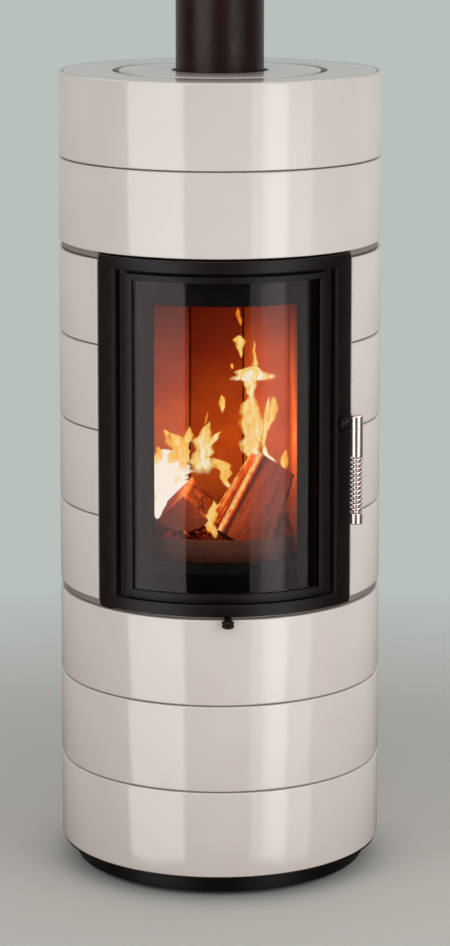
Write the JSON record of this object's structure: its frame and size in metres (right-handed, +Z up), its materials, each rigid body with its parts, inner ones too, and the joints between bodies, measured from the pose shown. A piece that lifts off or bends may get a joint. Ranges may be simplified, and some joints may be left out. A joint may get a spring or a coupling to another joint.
{
  "type": "tiled stove",
  "caption": "Round wood stove clad in glazed ceramic rings, with a curved glass door, coil-grip handle, air lever, lined firebox and top flue pipe.",
  "frame": {"origin": "on the floor, on the stove's vertical axis", "axes": "+Z up, -Y out of the door, +X to the right of someone facing the door"},
  "size_m": [0.55, 0.594, 1.62],
  "materials": {
    "glazed_ceramic": "glossy warm grey glaze",
    "black_steel": "matt black heat-resistant paint",
    "grey_steel": "satin grey-brown paint",
    "bright_steel": "polished stainless steel",
    "cast_iron": "matt cast iron",
    "refractory": "rough refractory board",
    "seal_rope": "woven glass fibre",
    "door_glass": "clear ceramic glass",
    "log_bark": "split wood with bark"
  },
  "bodies": {
    "stove": {"foot_front_right": "black_steel", "foot_rear_right": "black_steel", "foot_rear_left": "black_steel", "foot_front_left": "black_steel", "pedestal": "black_steel", "lower_ring_1": "glazed_ceramic", "lower_ring_2": "glazed_ceramic", "lower_ring_3": "glazed_ceramic", "lower_carrier": "grey_steel", "side_tile_left_1": "glazed_ceramic", "side_tile_left_2": "glazed_ceramic", "side_tile_left_3": "glazed_ceramic", "side_tile_left_4": "glazed_ceramic", "side_tile_right_1": "glazed_ceramic", "side_tile_right_2": "glazed_ceramic", "side_tile_right_3": "glazed_ceramic", "side_tile_right_4": "glazed_ceramic", "upper_carrier": "grey_steel", "upper_ring_1": "glazed_ceramic", "upper_ring_2": "glazed_ceramic", "top_spider": "black_steel", "top_ring_plate": "glazed_ceramic", "centre_plate": "glazed_ceramic", "flue_collar": "cast_iron", "flue_pipe": "black_steel", "rear_panel": "black_steel", "air_box": "black_steel", "firebox_left": "cast_iron", "firebox_right": "cast_iron", "firebox_back": "cast_iron", "firebox_top": "cast_iron", "firebox_front": "cast_iron", "hearth_plate": "cast_iron", "grate": "cast_iron", "log_retainer": "cast_iron", "ash_pan": "black_steel", "rear_lining_1": "refractory", "rear_lining_2": "refractory", "rear_lining_3": "refractory", "side_lining_left": "refractory", "side_lining_right": "refractory", "baffle": "refractory", "lower_hinge_bracket": "black_steel", "upper_hinge_bracket": "black_steel", "latch_keeper": "bright_steel", "log_rear": "log_bark", "log_front": "log_bark", "log_top": "log_bark"},
    "door": {"door_frame": "black_steel", "glass_frame": "black_steel", "door_glass": "door_glass", "glass_seal": "seal_rope", "door_seal": "seal_rope"},
    "handle": {"handle_spindle": "black_steel", "handle_grip": "bright_steel", "handle_spring": "bright_steel", "handle_cap": "bright_steel", "latch_tongue": "bright_steel"},
    "air_control": {"air_shutter": "black_steel", "air_knob": "black_steel"}
  },
  "joints": [
    {"name": "door_hinge", "type": "hinge", "parent": "stove", "child": "door", "pos_m": [-0.19579, -0.18447, 0.78], "axis": [0, 0, -1], "range_deg": [0, 100], "deforming": ["latch_keeper"]},
    {"name": "handle_turn", "type": "hinge", "parent": "door", "child": "handle", "pos_m": [0.19648, -0.19241, 0.793], "axis": [0.7145, -0.6997, 0], "range_deg": [0, 75]},
    {"name": "air_lever", "type": "hinge", "parent": "stove", "child": "air_control", "pos_m": [0, 0, 0.4845], "axis": [0, 0, 1], "range_deg": [-12, 12]}
  ]
}
